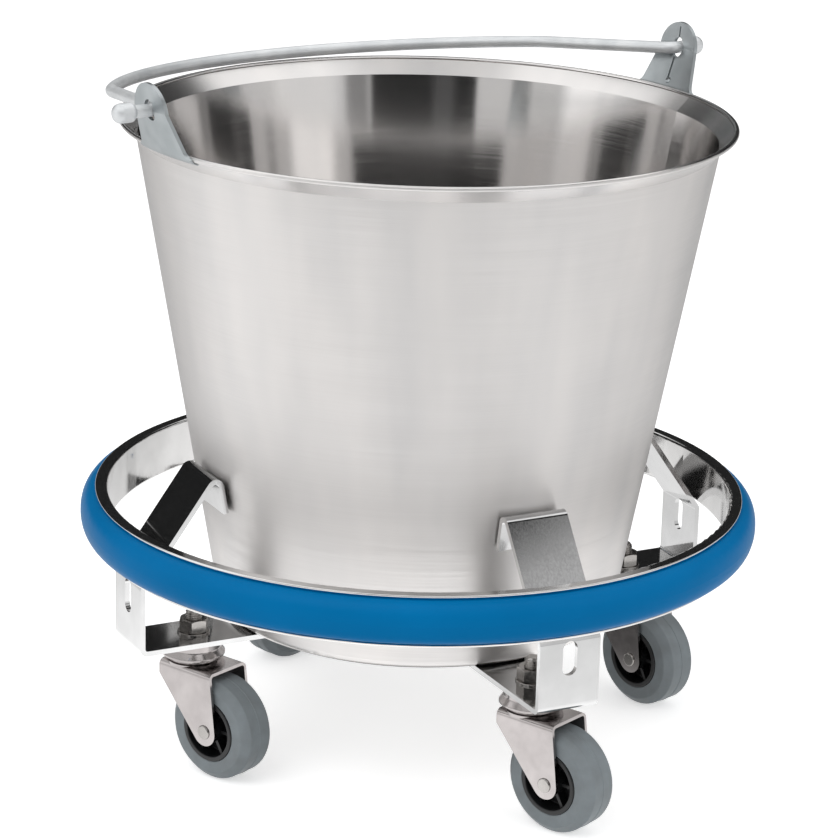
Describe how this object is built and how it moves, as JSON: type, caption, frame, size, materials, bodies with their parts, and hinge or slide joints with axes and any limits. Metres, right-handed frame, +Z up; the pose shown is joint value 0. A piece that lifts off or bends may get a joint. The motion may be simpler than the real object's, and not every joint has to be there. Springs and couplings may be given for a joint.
{
  "type": "kick bucket",
  "caption": "Tapered steel pail with a wire bail, lifted out of a low round carriage with a rubber bumper ring on bracket legs and swivel casters.",
  "frame": {"origin": "on the floor, under the middle of the carriage", "axes": "+Z up; the brackets and casters stand on +X, +Y, -X and -Y; the bail lies to the rear, towards +Y"},
  "size_m": [0.3431, 0.336, 0.3482],
  "materials": {
    "pail_steel": "satin stainless sheet",
    "bail_steel": "smooth drawn stainless wire",
    "carriage_steel": "polished plated strip steel",
    "bumper_rubber": "smooth blue extruded rubber",
    "caster_steel": "bright plated pressings",
    "ball_steel": "ground bearing balls",
    "fastener_steel": "bright plated fasteners",
    "hub_plastic": "moulded black plastic",
    "tyre_rubber": "non-marking grey rubber"
  },
  "bodies": {
    "carriage": {"hoop_channel": "carriage_steel", "bumper_strip": "bumper_rubber", "stud_washers": "fastener_steel", "stud_nuts": "fastener_steel", "bracket_rear_right": "carriage_steel", "caster_stud_rear_right": "caster_steel", "swivel_race_rear_right": "caster_steel", "swivel_balls_rear_right": "ball_steel", "bracket_rear_left": "carriage_steel", "caster_stud_rear_left": "caster_steel", "swivel_race_rear_left": "caster_steel", "swivel_balls_rear_left": "ball_steel", "bracket_front_left": "carriage_steel", "caster_stud_front_left": "caster_steel", "swivel_race_front_left": "caster_steel", "swivel_balls_front_left": "ball_steel", "bracket_front_right": "carriage_steel", "caster_stud_front_right": "caster_steel", "swivel_race_front_right": "caster_steel", "swivel_balls_front_right": "ball_steel"},
    "pail": {"pail": "pail_steel", "ear_right": "pail_steel", "ear_left": "pail_steel"},
    "bail": {"bail_handle": "bail_steel"},
    "fork_rear_right": {"caster_fork_rear_right": "caster_steel", "axle_sleeve_rear_right": "caster_steel", "axle_rivet_rear_right": "caster_steel"},
    "wheel_rear_right": {"wheel_hub_rear_right": "hub_plastic", "wheel_tyre_rear_right": "tyre_rubber"},
    "fork_rear_left": {"caster_fork_rear_left": "caster_steel", "axle_sleeve_rear_left": "caster_steel", "axle_rivet_rear_left": "caster_steel"},
    "wheel_rear_left": {"wheel_hub_rear_left": "hub_plastic", "wheel_tyre_rear_left": "tyre_rubber"},
    "fork_front_left": {"caster_fork_front_left": "caster_steel", "axle_sleeve_front_left": "caster_steel", "axle_rivet_front_left": "caster_steel"},
    "wheel_front_left": {"wheel_hub_front_left": "hub_plastic", "wheel_tyre_front_left": "tyre_rubber"},
    "fork_front_right": {"caster_fork_front_right": "caster_steel", "axle_sleeve_front_right": "caster_steel", "axle_rivet_front_right": "caster_steel"},
    "wheel_front_right": {"wheel_hub_front_right": "hub_plastic", "wheel_tyre_front_right": "tyre_rubber"}
  },
  "joints": [
    {"name": "pail_lift", "type": "slide", "parent": "carriage", "child": "pail", "axis": [0, 0, 1], "range_m": [0, 0.3]},
    {"name": "bail_swing", "type": "hinge", "parent": "pail", "child": "bail", "pos_m": [0, 0, 0.3356], "axis": [0.9877, 0.1564, 0], "range_deg": [0, 191.9]},
    {"name": "swivel_rear_right", "type": "hinge", "parent": "carriage", "child": "fork_rear_right", "pos_m": [0.1216, 0, 0.056], "axis": [0, 0, 1], "continuous": true},
    {"name": "roll_rear_right", "type": "hinge", "parent": "fork_rear_right", "child": "wheel_rear_right", "pos_m": [0.12689, -0.01856, 0.0255], "axis": [0.9617, 0.274, 0], "continuous": true},
    {"name": "swivel_rear_left", "type": "hinge", "parent": "carriage", "child": "fork_rear_left", "pos_m": [0, 0.1216, 0.056], "axis": [0, 0, 1], "continuous": true},
    {"name": "roll_rear_left", "type": "hinge", "parent": "fork_rear_left", "child": "wheel_rear_left", "pos_m": [-0.01842, 0.11583, 0.0255], "axis": [0.299, -0.9542, 0], "continuous": true},
    {"name": "swivel_front_left", "type": "hinge", "parent": "carriage", "child": "fork_front_left", "pos_m": [-0.1216, 0, 0.056], "axis": [0, 0, 1], "continuous": true},
    {"name": "roll_front_left", "type": "hinge", "parent": "fork_front_left", "child": "wheel_front_left", "pos_m": [-0.11381, -0.01766, 0.0255], "axis": [0.915, 0.4035, 0], "continuous": true},
    {"name": "swivel_front_right", "type": "hinge", "parent": "carriage", "child": "fork_front_right", "pos_m": [0, -0.1216, 0.056], "axis": [0, 0, 1], "continuous": true},
    {"name": "roll_front_right", "type": "hinge", "parent": "fork_front_right", "child": "wheel_front_right", "pos_m": [0.00766, -0.13931, 0.0255], "axis": [0.9178, 0.3971, 0], "continuous": true}
  ]
}
